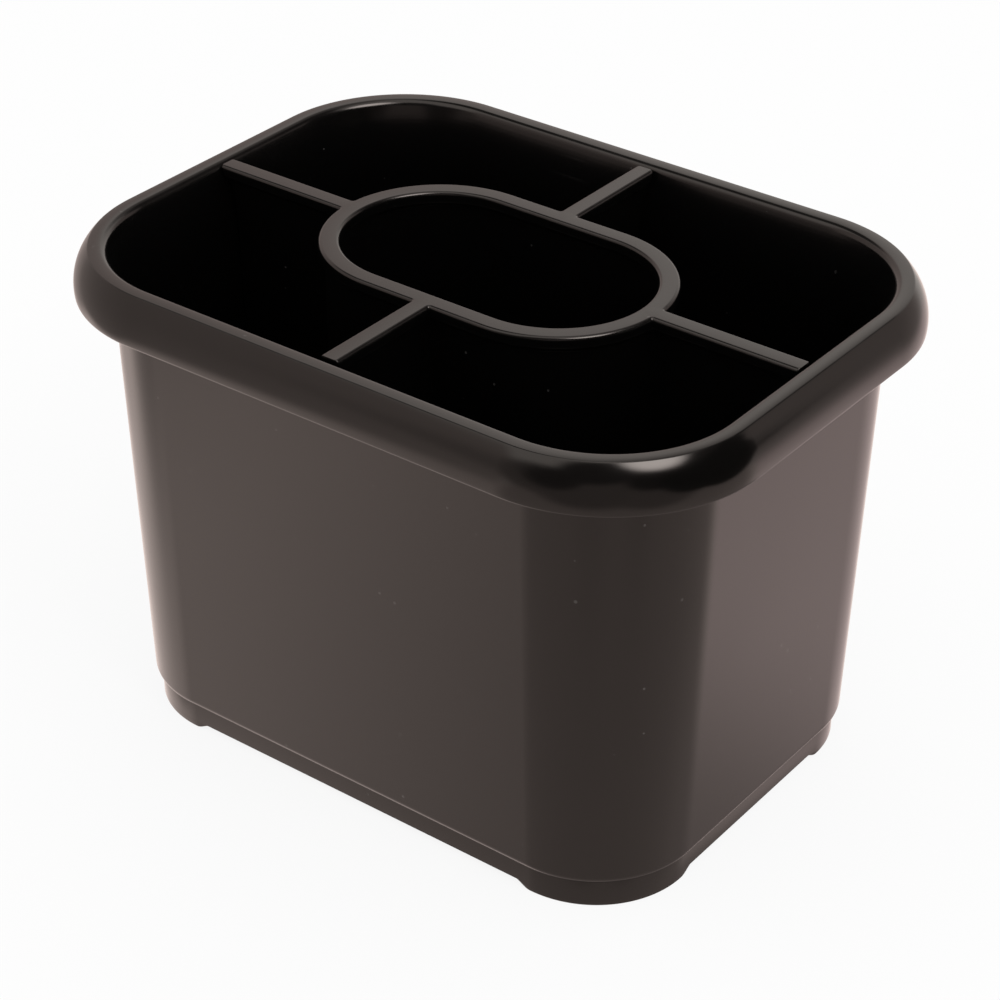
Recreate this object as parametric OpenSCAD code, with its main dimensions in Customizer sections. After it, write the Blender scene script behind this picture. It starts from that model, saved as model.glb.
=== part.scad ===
// Cutlery drainer: a flared tub with a rolled rim collar and a perforated floor,
// a lift-out divider with an oval centre cell, and a drip tray with moulded feet.
// Origin at the middle of the footprint, on the surface the feet stand on. +X runs
// along the long side and +Z points up. All sizes are in millimetres.

/* [Overall size] */
// Length over the rim collar
overall_length = 190; // [165:1:230]
// Width over the rim collar
overall_width = 144; // [126:1:180]
// Height from the feet to the rim
overall_height = 131; // [105:1:165]
// Corner radius of the collar at its widest line
corner_radius = 41; // [36:1:48]

/* [Tub] */
// Thickness of the tub's wall
tub_wall = 2; // [1.7:0.1:2.5]
// Lean of the wall, in degrees: the tub narrows downwards
wall_draft = 1.95; // [0.5:0.05:2.8]
// Thickness of the perforated floor
floor_thickness = 2; // [1.5:0.1:3.5]
// Depth of the skirt below the floor
skirt_depth = 6; // [5:0.5:9]
// Rounding between the floor and the wall
floor_rounding = 3; // [1:0.5:5]
// Rounding of the wall's lower edge
skirt_rounding = 2.4; // [0.6:0.1:2.6]
// Turn of that rounding, in degrees, before the flat face that stands on the tray
skirt_turn = 60; // [40:5:65]

/* [Rim collar] */
// Height of the collar
collar_height = 11.9; // [10.5:0.1:15]
// Drop from the rim to the collar's widest line
collar_belly = 9.6; // [7.5:0.1:10]
// Reach of the collar beyond the wall, at the collar's lower edge
collar_overhang = 9.35; // [8.6:0.05:11]
// Reach of the collar beyond the inner edge of the rim's flat top
collar_reach = 6.7; // [6:0.1:7.4]
// Width of the flat top of the rim, before its outer edge is rounded
rim_flat = 2.7; // [2:0.1:3.2]
// Rounding from the flat top into the collar
rim_rounding = 1; // [0.6:0.1:2]
// Rounding from the flat top into the tub's mouth
mouth_rounding = 2; // [1:0.1:2.6]
// Lean of the flare where that rounding runs into it, in degrees
flare_lean = 22; // [16:1:30]
// Thickness of the collar's skin
collar_skin = 1.8; // [1.4:0.1:2.2]

/* [Drain holes] */
// Diameter of a drain hole
drain_diameter = 5; // [3:0.5:6]
// Distance between neighbouring drain holes
drain_pitch = 17; // [12:0.5:24]
// Least width of plain floor between a hole and the wall
drain_margin = 7; // [4:0.5:12]

/* [Divider] */
// Length of the centre cell, over its bead
cell_length = 94; // [74:1:110]
// Width of the centre cell, over its bead
cell_width = 59; // [48:1:70]
// Width of the bead along the top of the divider
bead_width = 5.2; // [4:0.1:6]
// Height of the bead
bead_height = 4.5; // [3.5:0.1:7]
// Rounding of the bead's top edges
bead_rounding = 0.9; // [0.5:0.1:1.4]
// Thickness of the divider's walls below the bead
web = 1.8; // [1.2:0.1:2.6]
// Drop from the rim to the top of the divider
divider_drop = 0.3; // [0:0.1:2]
// Gap between the tub and the tip of an arm on the long axis
end_arm_gap = 0.5; // [0.4:0.1:2]
// Gap between the tub and the tip of an arm on the short axis
side_arm_gap = 1.4; // [0.4:0.1:3]
// Bevel across the top of each arm's tip
tip_bevel = 0.6; // [0.4:0.1:1.5]

/* [Drip tray] */
// Height of the tray's band between the feet and the tub
band_height = 5.8; // [4:0.2:9]
// Step in from the tub's wall to the band
band_recess = 1.4; // [0.8:0.1:1.5]
// Lean of the band's face, in degrees
band_draft = 2; // [0:0.5:4]
// Thickness of the tray's bottom
tray_bottom = 2; // [1.5:0.1:3]
// Thickness of the upstand that plugs into the skirt
upstand_wall = 1.6; // [1.2:0.1:2.4]
// Height of the upstand above the band
upstand_height = 4; // [2.5:0.5:4.5]
// Gap between the upstand and the skirt
upstand_gap = 0.3; // [0.2:0.05:0.5]
// Bevel that leads the upstand into the skirt
upstand_bevel = 0.6; // [0.2:0.1:1]
// Height of the feet below the band
foot_height = 1.9; // [1:0.1:4]
// Width of a foot, from the band's face inwards
foot_width = 5; // [3:0.5:8]
// Length of the slope where a foot runs out along a side
foot_slope = 5; // [3:0.5:10]

/* [Hidden] */
$fn = 96;

// Steps in each curved stretch of a section
CURVE_STEPS = 8;
TUB_COLOUR = [0.13, 0.12, 0.115];
DIVIDER_COLOUR = [0.17, 0.16, 0.155];
TRAY_COLOUR = [0.1, 0.092, 0.09];

// Centres of the four corners, which every outline shares
corner_x = overall_length / 2 - corner_radius;
corner_y = overall_width / 2 - corner_radius;

// Levels from the ground up
skirt_z = foot_height + band_height;
floor_under_z = skirt_z + skirt_depth;
floor_z = floor_under_z + floor_thickness;
collar_under_z = overall_height - collar_height;

// Radii about a corner's centre: the same distances hold along the straight sides
slope = tan(wall_draft);
wall_top_r = corner_radius - collar_overhang;
rim_edge_r = corner_radius - collar_reach;
rim_outer_r = rim_edge_r + rim_flat;
function wall_outer_r(z) = wall_top_r + (z - collar_under_z) * slope;
function wall_inner_r(z) = wall_outer_r(z) - tub_wall;

// Mouth: a rounding from the flat top, then a wider arc that touches it at the flare's
// lean and runs out along the wall
mouth_z = overall_height - mouth_rounding;
mouth_run = rim_edge_r - wall_inner_r(mouth_z);
lean_share = cos(flare_lean - wall_draft) / cos(wall_draft);
flare_r = (mouth_run - mouth_rounding * lean_share) / (1 / cos(wall_draft) - lean_share);
flare_centre_r = rim_edge_r + (flare_r - mouth_rounding) * cos(flare_lean);
flare_centre_z = mouth_z - (flare_r - mouth_rounding) * sin(flare_lean);
flare_low_z = flare_centre_z + flare_r * sin(wall_draft);
flare_top_z = mouth_z + mouth_rounding * sin(flare_lean);
function tub_inner_r(z) =
    z <= flare_low_z ? wall_inner_r(z)
    : z <= flare_top_z ? flare_centre_r - sqrt(flare_r ^ 2 - (z - flare_centre_z) ^ 2)
    : rim_edge_r - sqrt(mouth_rounding ^ 2 - (z - mouth_z) ^ 2);

// Collar: an arc from the outer edge of the flat top, upright at the widest line
collar_out = corner_radius - rim_outer_r;
collar_r = (collar_out ^ 2 + collar_belly ^ 2) / (2 * collar_out);
collar_centre_r = corner_radius - collar_r;
collar_centre_z = overall_height - collar_belly;
rim_round_r = collar_centre_r
    + sqrt((collar_r - rim_rounding) ^ 2 - (collar_belly - rim_rounding) ^ 2);
collar_start = atan2(collar_belly - rim_rounding, rim_round_r - collar_centre_r);

// Lip: a half circle as thick as the collar's skin, along the collar's lower edge
lip_r = collar_skin / 2;
lip_path_r = collar_r - lip_r;
lip_angle = -asin((collar_height - collar_belly - lip_r) / lip_path_r);
lip_centre = [collar_centre_r, collar_centre_z] + lip_path_r * [cos(lip_angle), sin(lip_angle)];

// Hollow under the collar, closed by a skin of even thickness
hollow_z = overall_height - collar_skin;
hollow_outer_r = collar_r - collar_skin;
hollow_start = asin((hollow_z - collar_centre_z) / hollow_outer_r);
hollow_inner_r = flare_r - tub_wall;

// Divider, measured along the middle of its walls
divider_z = overall_height - divider_drop;
cell_turn_r = (cell_width - bead_width) / 2;
cell_end_x = (cell_length - bead_width) / 2;
cell_straight = cell_end_x - cell_turn_r;
bead_flat = bead_width - 2 * bead_rounding;
bead_neck = (bead_width - web) / 2;
tip_floor_cut = floor_rounding + end_arm_gap;

// Tray
skirt_outer_r = wall_outer_r(skirt_z);
band_top_r = skirt_outer_r - band_recess;
band_bottom_r = band_top_r - band_height * tan(band_draft);
upstand_r = skirt_outer_r - tub_wall - upstand_gap;
tray_inner_r = upstand_r - upstand_wall;
tray_floor_z = foot_height + tray_bottom;
upstand_z = skirt_z + upstand_height;

// Points along a circular arc from angle a to angle b
function arc(centre, radius, a, b) = [
    for (i = [0:CURVE_STEPS])
        let (t = a + (b - a) * i / CURVE_STEPS)
        centre + radius * [cos(t), sin(t)]
];

// Carries a section round the whole outline: distance outwards becomes height's
// partner on four quarter turns and four straight runs
module around_outline() {
    for (half = [0, 180]) rotate([0, 0, half]) {
        translate([corner_x, corner_y, 0]) rotate_extrude(angle = 90) children();
        translate([-corner_x, corner_y, 0]) rotate([0, 0, 90]) rotate_extrude(angle = 90) children();
        translate([-corner_x, corner_y, 0]) rotate([90, 0, 90]) linear_extrude(2 * corner_x) children();
        rotate([0, 0, -90]) translate([-corner_y, corner_x, 0])
            rotate([90, 0, 90]) linear_extrude(2 * corner_y) children();
    }
}

// Plate between the four corner centres, which closes a swept floor
module middle_plate(z, thickness) {
    translate([-corner_x, -corner_y, z]) cube([2 * corner_x, 2 * corner_y, thickness]);
}

// Section of the tub: floor, wall, flare, flat rim, collar, hollow and skirt
module tub_section() {
    rounding_r = wall_inner_r(floor_z + floor_rounding) - floor_rounding;
    skirt_round_z = skirt_z + skirt_rounding * sin(skirt_turn);
    skirt_round_r = wall_outer_r(skirt_round_z) - skirt_rounding / cos(wall_draft);
    flare_centre = [flare_centre_r, flare_centre_z];
    polygon(concat(
        [[0, floor_under_z], [0, floor_z]],
        arc([rounding_r, floor_z + floor_rounding], floor_rounding, -90, 0),
        arc(flare_centre, flare_r, 180 - wall_draft, 180 - flare_lean),
        arc([rim_edge_r, mouth_z], mouth_rounding, 180 - flare_lean, 90),
        arc([rim_round_r, overall_height - rim_rounding], rim_rounding, 90, collar_start),
        arc([collar_centre_r, collar_centre_z], collar_r, collar_start, lip_angle),
        arc(lip_centre, lip_r, lip_angle, lip_angle - 180),
        arc([collar_centre_r, collar_centre_z], hollow_outer_r, lip_angle, hollow_start),
        arc(flare_centre, hollow_inner_r, 180 - flare_lean, 180 - wall_draft),
        arc([skirt_round_r, skirt_round_z], skirt_rounding, -wall_draft, -skirt_turn),
        [
            [skirt_outer_r - tub_wall, skirt_z],
            [wall_inner_r(floor_under_z), floor_under_z]
        ]
    ));
}

// Whether a drain hole at a place keeps its margin to the wall
function drains(x, y) =
    let (
        reach = wall_inner_r(floor_z) - floor_rounding - drain_margin - drain_diameter / 2,
        past = [max(0, abs(x) - corner_x), max(0, abs(y) - corner_y)]
    )
    norm(past) <= reach;

module drain_holes() {
    columns = ceil(overall_length / drain_pitch / 2);
    rows = ceil(overall_width / drain_pitch / 2);
    for (column = [-columns:columns], row = [-rows:rows])
        let (x = column * drain_pitch, y = row * drain_pitch)
            if (drains(x, y))
                translate([x, y, floor_under_z - 1])
                    cylinder(d = drain_diameter, h = floor_thickness + 2);
}

module tub() {
    color(TUB_COLOUR) difference() {
        union() {
            around_outline() tub_section();
            middle_plate(floor_under_z, floor_thickness);
        }
        drain_holes();
    }
}

// Section of a divider wall about its middle: a rounded bead on a thin web
module divider_section() {
    half = bead_width / 2;
    bead_edge_z = divider_z - bead_rounding;
    bead_low_z = divider_z - bead_height;
    polygon(concat(
        [[-web / 2, floor_z], [web / 2, floor_z], [web / 2, bead_low_z], [half, bead_low_z + bead_neck]],
        arc([bead_flat / 2, bead_edge_z], bead_rounding, 0, 90),
        arc([-bead_flat / 2, bead_edge_z], bead_rounding, 90, 180),
        [[-half, bead_low_z + bead_neck], [-web / 2, bead_low_z]]
    ));
}

// Side view of an arm: its tip follows the inside of the tub at an even gap
module arm_outline(start, corner, gap) {
    tip_z = divider_z - tip_bevel;
    function tip(z) = [corner + tub_inner_r(z) - gap, z];
    polygon(concat(
        [[start, divider_z], [start, floor_z], tip(floor_z) - [tip_floor_cut, 0]],
        [tip(floor_z + tip_floor_cut)],
        [for (i = [0:CURVE_STEPS]) tip(flare_low_z + (flare_top_z - flare_low_z) * i / CURVE_STEPS)],
        [tip(tip_z)],
        [tip(tip_z) + tip_bevel * [-1, 1]]
    ));
}

// An arm along +X, from the middle of the cell's wall to the tub
module arm(start, corner, gap) {
    length = corner + rim_edge_r;
    intersection() {
        rotate([90, 0, 90]) linear_extrude(length) divider_section();
        rotate([90, 0, 0]) linear_extrude(2 * bead_width, center = true) arm_outline(start, corner, gap);
    }
}

module centre_cell() {
    for (half = [0, 180]) rotate([0, 0, half]) {
        translate([cell_straight, 0, 0]) rotate([0, 0, -90])
            rotate_extrude(angle = 180) translate([cell_turn_r, 0]) divider_section();
        translate([-cell_straight, cell_turn_r, 0])
            rotate([90, 0, 90]) linear_extrude(2 * cell_straight) divider_section();
    }
}

module divider() {
    color(DIVIDER_COLOUR) union() {
        centre_cell();
        for (half = [0, 180]) rotate([0, 0, half]) {
            arm(cell_end_x, corner_x, end_arm_gap);
            rotate([0, 0, 90]) arm(cell_turn_r, corner_y, side_arm_gap);
        }
    }
}

// Section of the tray: bottom, band, shoulder under the skirt and upstand
module tray_section() {
    polygon([
        [0, foot_height],
        [band_bottom_r, foot_height],
        [band_top_r, skirt_z],
        [upstand_r, skirt_z],
        [upstand_r, upstand_z - upstand_bevel],
        [upstand_r - upstand_bevel, upstand_z],
        [tray_inner_r, upstand_z],
        [tray_inner_r, tray_floor_z],
        [0, tray_floor_z]
    ]);
}

// Run-out of a foot: an S-shaped slope from the ground up to the band
module foot_run_out() {
    polygon(concat(
        [for (i = [0:CURVE_STEPS]) let (t = i / CURVE_STEPS)
            [foot_slope * t, foot_height * (1 - cos(180 * t)) / 2]],
        [[0, foot_height]]
    ));
}

// A foot round the +X +Y corner, about that corner's centre
module foot() {
    inner_r = band_bottom_r - foot_width;
    rotate_extrude(angle = 90) translate([inner_r, 0]) square([foot_width, foot_height]);
    translate([0, band_bottom_r, 0]) mirror([1, 0, 0]) rotate([90, 0, 0])
        linear_extrude(foot_width) foot_run_out();
    translate([inner_r, 0, 0]) mirror([0, 1, 0]) rotate([90, 0, 90])
        linear_extrude(foot_width) foot_run_out();
}

module drip_tray() {
    color(TRAY_COLOUR) union() {
        around_outline() tray_section();
        middle_plate(foot_height, tray_bottom);
        for (side = [0, 1], end = [0, 1])
            mirror([0, side, 0]) mirror([end, 0, 0]) translate([corner_x, corner_y, 0]) foot();
    }
}

drip_tray();
tub();
divider();
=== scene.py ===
"""Looks of the cutlery drainer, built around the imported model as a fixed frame.

Three moulded pieces are worked out here as smooth surfaces: the tub, the lift-out
divider and the drip tray. Each is a section carried round an outline, with the small
roundings that a mould leaves, and each stands for the node of its own name. Lengths
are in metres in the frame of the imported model: +X along the long side, +Z up, and the
origin on the ground under the middle.
"""

import logging
import math
from dataclasses import dataclass, field
from enum import Enum
from typing import ClassVar

import bmesh
import bpy
import numpy as np
from mathutils import Matrix, Vector
from mathutils.geometry import delaunay_2d_cdt


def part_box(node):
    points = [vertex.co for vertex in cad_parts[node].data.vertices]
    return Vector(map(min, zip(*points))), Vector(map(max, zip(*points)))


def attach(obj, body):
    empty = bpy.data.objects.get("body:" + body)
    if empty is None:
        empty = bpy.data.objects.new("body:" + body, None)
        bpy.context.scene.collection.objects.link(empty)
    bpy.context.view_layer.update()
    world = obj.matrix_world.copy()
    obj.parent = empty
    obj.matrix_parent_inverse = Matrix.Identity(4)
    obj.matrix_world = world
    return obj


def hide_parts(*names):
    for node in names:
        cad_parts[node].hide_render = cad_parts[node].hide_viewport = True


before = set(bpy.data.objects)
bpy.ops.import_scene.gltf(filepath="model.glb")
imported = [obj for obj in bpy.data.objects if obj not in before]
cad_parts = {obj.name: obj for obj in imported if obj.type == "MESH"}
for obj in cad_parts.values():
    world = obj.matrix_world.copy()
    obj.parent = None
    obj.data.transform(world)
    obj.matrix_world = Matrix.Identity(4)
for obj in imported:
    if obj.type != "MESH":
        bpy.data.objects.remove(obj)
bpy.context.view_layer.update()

Array = np.ndarray
Object = bpy.types.Object
Socket = bpy.types.NodeSocket
Tree = bpy.types.NodeTree
Colour = tuple[float, float, float]
Point = tuple[float, float]
Values = Array | float
Input = Socket | float | Colour | Vector

MM = 0.001
CM3_PER_M3 = 1e6
# Points this close are one, and edges that turn by more degrees than this stay sharp
WELD = 0.002 * MM
SHARP_ANGLE = 35.0
# A stretch of a section is long from this many times the reach of its added points
LONG_STRETCH = 4
# Shares of a straight stretch in plan: near both ends and in the middle
NEAR_ENDS = (0.02, 0.5, 0.98)
# The triangulation keeps what lies inside the loops, and merges points this close
CDT_INSIDE = 1
CDT_MERGE = 1e-9
# Numbers of the Mix node's colour sockets
MIX_A = 6
MIX_B = 7
MIX_RESULT = 2
# Mesh attributes that the finishes read
WEAR = "wear"
INSIDE = "inside"
WHITE = (1.0, 1.0, 1.0)
log = logging.getLogger("drainer")


class Piece(Enum):
    """The three mouldings, by the name that node and body share."""

    TUB = "tub"
    DIVIDER = "divider"
    TRAY = "drip_tray"


def arc(centre: Point, radius: float, start: float, end: float, steps: int) -> Array:
    """Points along a circle: centre + radius * (cos a, sin a) as a runs from start to end.

    Args:
        centre: Middle of the circle.
        radius: Radius of the circle.
        start: First angle, in degrees.
        end: Last angle, in degrees.
        steps: Number of stretches between the points.

    Returns:
        Array of steps + 1 points in the plane.
    """
    angle = np.radians(np.linspace(start, end, steps + 1))
    return np.asarray(centre) + radius * np.stack([np.cos(angle), np.sin(angle)], axis=1)


def fillet(before: Array, corner: Array, after: Array, radius: float, steps: int = 5) -> Array:
    """Points that round a corner with the circle that touches both of its legs.

    The circle's centre lies on the corner's bisector, radius / sin(half angle) away, and
    the circle meets each leg radius / tan(half angle) from the corner.

    Args:
        before: A point on the leg that leads to the corner.
        corner: The sharp corner.
        after: A point on the leg that leaves the corner.
        radius: Radius of the rounding.
        steps: Number of stretches along the rounding.

    Returns:
        Array of steps + 1 points, from the first leg to the second.
    """
    back = (before - corner) / np.linalg.norm(before - corner)
    ahead = (after - corner) / np.linalg.norm(after - corner)
    half = 0.5 * math.acos(float(np.clip(back @ ahead, -1.0, 1.0)))
    middle = (back + ahead) / np.linalg.norm(back + ahead)
    centre = corner + middle * radius / math.sin(half)
    spokes = corner + np.stack([back, ahead]) * radius / math.tan(half) - centre
    first, last = np.arctan2(spokes[:, 1], spokes[:, 0])
    turn = (last - first + math.pi) % (2 * math.pi) - math.pi
    return arc(tuple(centre), radius, math.degrees(first), math.degrees(first + turn), steps)


def supported(points: Array, reach: float) -> Array:
    """Adds a point near both ends of each long stretch, so that flats shade flat between roundings.

    Args:
        points: Points of a section.
        reach: Distance of the added points from the ends of their stretch.

    Returns:
        The section with the added points.
    """
    step = np.diff(points, axis=0)
    length = np.linalg.norm(step, axis=1)
    offset = step * (reach / length)[:, None]
    rows = np.stack([points[:-1], points[:-1] + offset, points[1:] - offset], axis=1)
    is_long = length > LONG_STRETCH * reach
    keep = np.stack([np.ones_like(is_long), is_long, is_long], axis=1)
    return np.concatenate([rows[keep], points[-1:]])


def edge_wear(section: Array, full_radius: float) -> Array:
    """How exposed each point of a section is: 1 on a tight outer rounding, 0 on flats and hollows.

    The turn at a point over the mean length beside it is the section's curvature there. The
    material lies on the right of the section, so an outer rounding turns right.

    Args:
        section: Points of the section, with the material on the right.
        full_radius: Radius of rounding at which the wear is complete.

    Returns:
        One value for each point.
    """
    step = np.diff(section, axis=0)
    angle = np.unwrap(np.arctan2(step[:, 1], step[:, 0]))
    length = np.linalg.norm(step, axis=1)
    curvature = -np.diff(angle) / (0.5 * (length[1:] + length[:-1]))
    return np.pad(np.clip(curvature * full_radius, 0.0, 1.0), 1)


def new_object(name: str, data: bpy.types.ID) -> Object:
    """Makes an object at the origin and links it to the scene.

    Args:
        name: Name of the object.
        data: Its mesh, camera or lamp.

    Returns:
        The object.
    """
    made = bpy.data.objects.new(name, data)
    bpy.context.scene.collection.objects.link(made)
    return made


def raised(plan: Array, height: Values) -> Array:
    """Points in plan, set at their heights, which may be fewer and are then repeated."""
    return np.concatenate([plan, np.broadcast_to(height, plan.shape[:-1])[..., None]], axis=-1)


@dataclass
class Shell:
    """Patches of surface, gathered and then welded into one closed mesh.

    Args:
        points: Arrays of points, one for each patch.
        faces: Arrays of corner numbers, one for each patch.
        wear: Arrays of edge wear, one for each patch.
        inside: Arrays of how far a point lies inside a cell, one for each patch.
        count: Number of points so far.
    """

    points: list[Array] = field(default_factory=list)
    faces: list[Array] = field(default_factory=list)
    wear: list[Array] = field(default_factory=list)
    inside: list[Array] = field(default_factory=list)
    count: int = 0

    def add(self, points: Array, faces: Array, wear: Values = 0.0, inside: Values = 0.0) -> None:
        """Adds a patch.

        Args:
            points: Array of points of the patch.
            faces: Array of corner numbers within the patch.
            wear: Edge wear of each point, or one value for all.
            inside: 1 for each point inside a cell and 0 elsewhere, or one value for all.
        """
        self.points.append(points)
        self.faces.append(faces + self.count)
        for values, number in ((self.wear, wear), (self.inside, inside)):
            values.append(np.broadcast_to(np.asarray(number, float), (len(points),)))
        self.count += len(points)

    def add_grid(self, grid: Array, wear: Values = 0.0, inside: Values = 0.0) -> None:
        """Adds a surface on a grid whose rows close into a ring.

        The corners of a face run down the section first and along the ring second, which
        points the face away from material on the section's right.

        Args:
            grid: Points by station, then by place along the section.
            wear: Edge wear along the section, or one value for all.
            inside: 1 along the section inside a cell and 0 elsewhere, or one value for all.
        """
        stations, places = grid.shape[:2]
        here = np.arange(stations)[:, None] * places + np.arange(places - 1)[None, :]
        there = (here + places) % (stations * places)
        faces = np.stack([here, here + 1, there + 1, there], axis=2).reshape(-1, 4)
        along = [np.broadcast_to(value, (stations, places)).ravel() for value in (wear, inside)]
        self.add(grid.reshape(-1, 3), faces, *along)

    def add_plate(
        self, plan: Array, triangles: Array, height: float, faces_up: bool, inside: float = 0.0
    ) -> None:
        """Adds a flat plate at one height.

        Args:
            plan: Points of the plate in plan.
            triangles: Corner numbers, anticlockwise from above.
            height: Height of the plate.
            faces_up: Whether the plate faces up or down.
            inside: 1 for a plate inside a cell.
        """
        self.add(raised(plan, height), triangles if faces_up else triangles[:, ::-1], inside=inside)

    def to_object(self, name: str) -> Object:
        """Welds the patches into one mesh object, smooth but for its sharp corners.

        Args:
            name: Name of the object and of its mesh.

        Returns:
            The object, linked to the scene at the origin.
        """
        mesh = bpy.data.meshes.new(name)
        corners = [row for part in self.faces for row in part.tolist()]
        mesh.from_pydata(np.concatenate(self.points).tolist(), [], corners)
        for attribute_name, values in ((WEAR, self.wear), (INSIDE, self.inside)):
            attribute = mesh.attributes.new(attribute_name, "FLOAT", "POINT")
            attribute.data.foreach_set("value", np.concatenate(values).astype(np.float32))
        welded = bmesh.new()
        welded.from_mesh(mesh)
        bmesh.ops.remove_doubles(welded, verts=welded.verts, dist=WELD)
        bmesh.ops.dissolve_degenerate(welded, edges=welded.edges, dist=WELD)
        open_edges = sum(not edge.is_manifold for edge in welded.edges)
        volume = welded.calc_volume(signed=True) * CM3_PER_M3
        log.info("%s: %d faces, %.1f cm3, %d open edges", name, len(welded.faces), volume, open_edges)
        welded.to_mesh(mesh)
        welded.free()
        mesh.shade_smooth()
        mesh.set_sharp_from_angle(angle=math.radians(SHARP_ANGLE))
        return new_object(name, mesh)


def ring_edges(count: int, first: int = 0) -> Array:
    """Pairs of neighbours round a closed loop of count points, numbered from first."""
    here = np.arange(count)
    return first + np.stack([here, (here + 1) % count], axis=1)


def triangulate(loops: list[Array]) -> tuple[Array, Array]:
    """Triangles of the plane between closed loops.

    Args:
        loops: Arrays of points in plan, the outer loop first.

    Returns:
        Points, and the corner numbers of every triangle inside the outer loop.
    """
    starts = np.cumsum([0] + [len(loop) for loop in loops[:-1]])
    edges = np.concatenate([ring_edges(len(loop), start) for loop, start in zip(loops, starts)])
    points = np.concatenate(loops)
    made = delaunay_2d_cdt(points.tolist(), edges.tolist(), [], CDT_INSIDE, CDT_MERGE)
    return np.array([tuple(point) for point in made[0]]), np.array(made[2])


@dataclass(frozen=True)
class Outline:
    """The rounded rectangle that the sections are carried round.

    Args:
        corner_x: Distance of the corner centres from the middle, along X.
        corner_y: Distance of the corner centres from the middle, along Y.
        steps: Number of stretches in each corner's quarter turn.
    """

    corner_x: float
    corner_y: float
    steps: int = 36

    def stations(self, past_corner: Array) -> tuple[Array, Array, Array]:
        """Places along the outline, anticlockwise from the +X end of the +X +Y corner.

        On a corner the centre stands still while the outward direction makes a quarter turn.
        On a side the direction stands still while the centre moves to the next corner.

        Args:
            past_corner: Distances of a side's stations from the corner at either of its ends.

        Returns:
            Centres and outward directions in plan, and each station's distance from the
            nearest corner, which is 0 on a corner.
        """
        middles = np.array([[1, 1], [-1, 1], [-1, -1], [1, -1]]) * [self.corner_x, self.corner_y]
        quarter = arc((0.0, 0.0), 1.0, 0.0, 90.0, self.steps)
        centres, directions, distances = [], [], []
        for turn, (here, there) in enumerate(zip(middles, np.roll(middles, -1, axis=0))):
            angle = turn * math.pi / 2
            spin = np.array([[math.cos(angle), math.sin(angle)], [-math.sin(angle), math.cos(angle)]])
            outward = quarter @ spin
            length = np.linalg.norm(there - here)
            away = np.concatenate([past_corner, [length / 2], past_corner[::-1]])
            share = np.concatenate([past_corner, [length / 2], length - past_corner[::-1]]) / length
            along = here + share[:, None] * (there - here)
            centres += [np.repeat(here[None], len(outward), axis=0), along]
            directions += [outward, np.repeat(outward[-1:], len(share), axis=0)]
            distances += [np.zeros(len(outward)), away]
        return np.concatenate(centres), np.concatenate(directions), np.concatenate(distances)

    def carry(self, section: Array, past_corner: Array) -> Array:
        """Carries a section round the outline: centre + direction * distance, at the section's height.

        Args:
            section: Points (distance, height), or one such section for each station.
            past_corner: Distances of a side's stations from the corner at either of its ends.

        Returns:
            Points by station, then by place along the section.
        """
        centres, directions, _ = self.stations(past_corner)
        plan = centres[:, None, :] + directions[:, None, :] * section[..., :1]
        return raised(plan, section[..., 1])


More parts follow.
